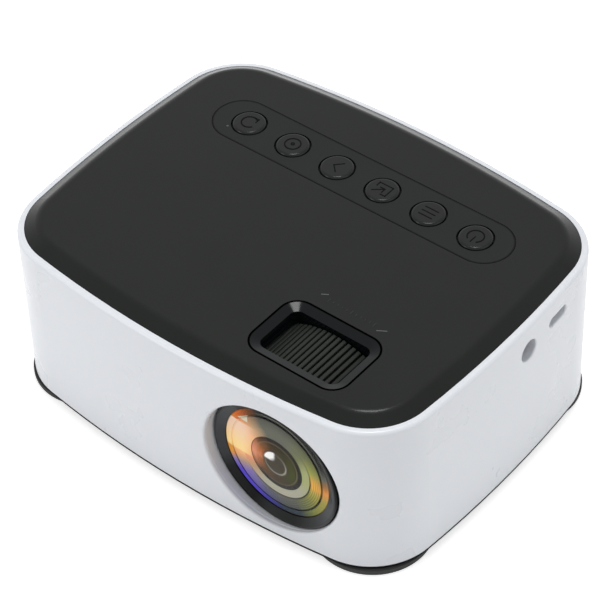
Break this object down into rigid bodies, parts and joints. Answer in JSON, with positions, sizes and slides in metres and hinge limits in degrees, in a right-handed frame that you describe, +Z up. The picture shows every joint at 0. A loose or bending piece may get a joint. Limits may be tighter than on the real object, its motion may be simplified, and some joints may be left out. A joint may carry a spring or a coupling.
{
  "type": "mini projector",
  "caption": "Small rounded box projector: light sleeve, dark bevelled covers, a row of round keys, a ribbed focus wheel in a window and a round projection lens in front.",
  "frame": {"origin": "centre of the case's base, on the surface that the feet stand on", "axes": "+X towards the side with the headphone and power sockets, -Y the way the lens looks, +Z up"},
  "size_m": [0.127, 0.1002, 0.0516],
  "materials": {
    "sleeve_plastic": "satin moulded, fine texture",
    "cover_plastic": "satin, very fine texture",
    "panel_plastic": "semi-gloss",
    "key_plastic": "semi-gloss with light print",
    "light_pipe": "clear",
    "foot_rubber": "matt",
    "screw_steel": "dark zinc",
    "insert_brass": "turned",
    "lens_plastic": "gloss",
    "barrel_plastic": "matt, light-absorbing",
    "lens_glass": "polished, coated",
    "pin_steel": "ground",
    "wheel_rubber": "satin, ribbed",
    "engine_plastic": "matt",
    "optic_plate": "clear",
    "display_glass": "polarised",
    "funnel_mirror": "mirror-coated",
    "led_core": "white mask over aluminium",
    "led_phosphor": "phosphor dome",
    "sink_aluminium": "extruded",
    "fan_plastic": "satin",
    "board_laminate": "solder mask",
    "chip_plastic": "moulded",
    "can_aluminium": "drawn",
    "flex_film": "amber film",
    "socket_steel": "nickel plated",
    "speaker_body": "matt"
  },
  "bodies": {
    "case": {"outer_sleeve": "sleeve_plastic", "top_cover": "cover_plastic", "bottom_cover": "cover_plastic", "key_panel": "panel_plastic", "focus_bezel": "panel_plastic", "status_light": "light_pipe", "foot_front_left": "foot_rubber", "foot_front_right": "foot_rubber", "foot_rear_left": "foot_rubber", "foot_rear_right": "foot_rubber", "case_screws": "screw_steel", "tube_screws": "screw_steel", "heat_sink_screws": "screw_steel", "engine_screws": "screw_steel", "board_screws": "screw_steel", "tripod_insert": "insert_brass", "lens_tube": "barrel_plastic", "ring_clip": "pin_steel", "engine_housing": "engine_plastic", "engine_lid": "engine_plastic", "field_lens": "optic_plate", "heat_glass": "optic_plate", "condenser_plate": "optic_plate", "display_panel": "display_glass", "light_funnel": "funnel_mirror", "led_board": "led_core", "led_emitter": "led_phosphor", "heat_sink": "sink_aluminium", "fan_frame": "fan_plastic", "main_board": "board_laminate", "board_chips": "chip_plastic", "key_switches": "chip_plastic", "audio_jack": "chip_plastic", "capacitors": "can_aluminium", "display_flex": "flex_film", "video_socket": "socket_steel", "data_socket": "socket_steel", "card_socket": "socket_steel", "power_socket": "socket_steel", "speaker": "speaker_body"},
    "barrel": {"lens_barrel": "barrel_plastic", "trim_ring": "lens_plastic", "front_glass": "lens_glass", "lens_baffle": "barrel_plastic", "middle_glass": "lens_glass", "lens_spacer": "barrel_plastic", "rear_glass": "lens_glass", "rear_retainer": "barrel_plastic", "guide_pins": "pin_steel"},
    "focus_ring": {"focus_ring": "wheel_rubber"},
    "fan_impeller": {"fan_impeller": "fan_plastic"},
    "key_source": {"key_source": "key_plastic"},
    "key_select": {"key_select": "key_plastic"},
    "key_previous": {"key_previous": "key_plastic"},
    "key_back": {"key_back": "key_plastic"},
    "key_menu": {"key_menu": "key_plastic"},
    "key_power": {"key_power": "key_plastic"}
  },
  "joints": [
    {"name": "focus_turn", "type": "hinge", "parent": "case", "child": "focus_ring", "pos_m": [0.0288, -0.02965, 0.0242], "axis": [0, 1, 0], "range_deg": [-25, 25]},
    {"name": "barrel_slide", "type": "slide", "parent": "case", "child": "barrel", "axis": [0, -1, 0], "range_m": [-0.002, 0.002]},
    {"name": "fan_spin", "type": "hinge", "parent": "case", "child": "fan_impeller", "pos_m": [-0.022, 0.038, 0.0211], "axis": [0, 1, 0], "continuous": true},
    {"name": "source_press", "type": "slide", "parent": "case", "child": "key_source", "axis": [0, 0, -1], "range_m": [0, 0.0004], "stiffness_N_per_m": 800},
    {"name": "select_press", "type": "slide", "parent": "case", "child": "key_select", "axis": [0, 0, -1], "range_m": [0, 0.0004], "stiffness_N_per_m": 800},
    {"name": "previous_press", "type": "slide", "parent": "case", "child": "key_previous", "axis": [0, 0, -1], "range_m": [0, 0.0004], "stiffness_N_per_m": 800},
    {"name": "back_press", "type": "slide", "parent": "case", "child": "key_back", "axis": [0, 0, -1], "range_m": [0, 0.0004], "stiffness_N_per_m": 800},
    {"name": "menu_press", "type": "slide", "parent": "case", "child": "key_menu", "axis": [0, 0, -1], "range_m": [0, 0.0004], "stiffness_N_per_m": 800},
    {"name": "power_press", "type": "slide", "parent": "case", "child": "key_power", "axis": [0, 0, -1], "range_m": [0, 0.0004], "stiffness_N_per_m": 800}
  ],
  "couplings": [
    {"joint": "barrel_slide", "follows": "focus_turn", "m_per_rad": 0.00458}
  ]
}
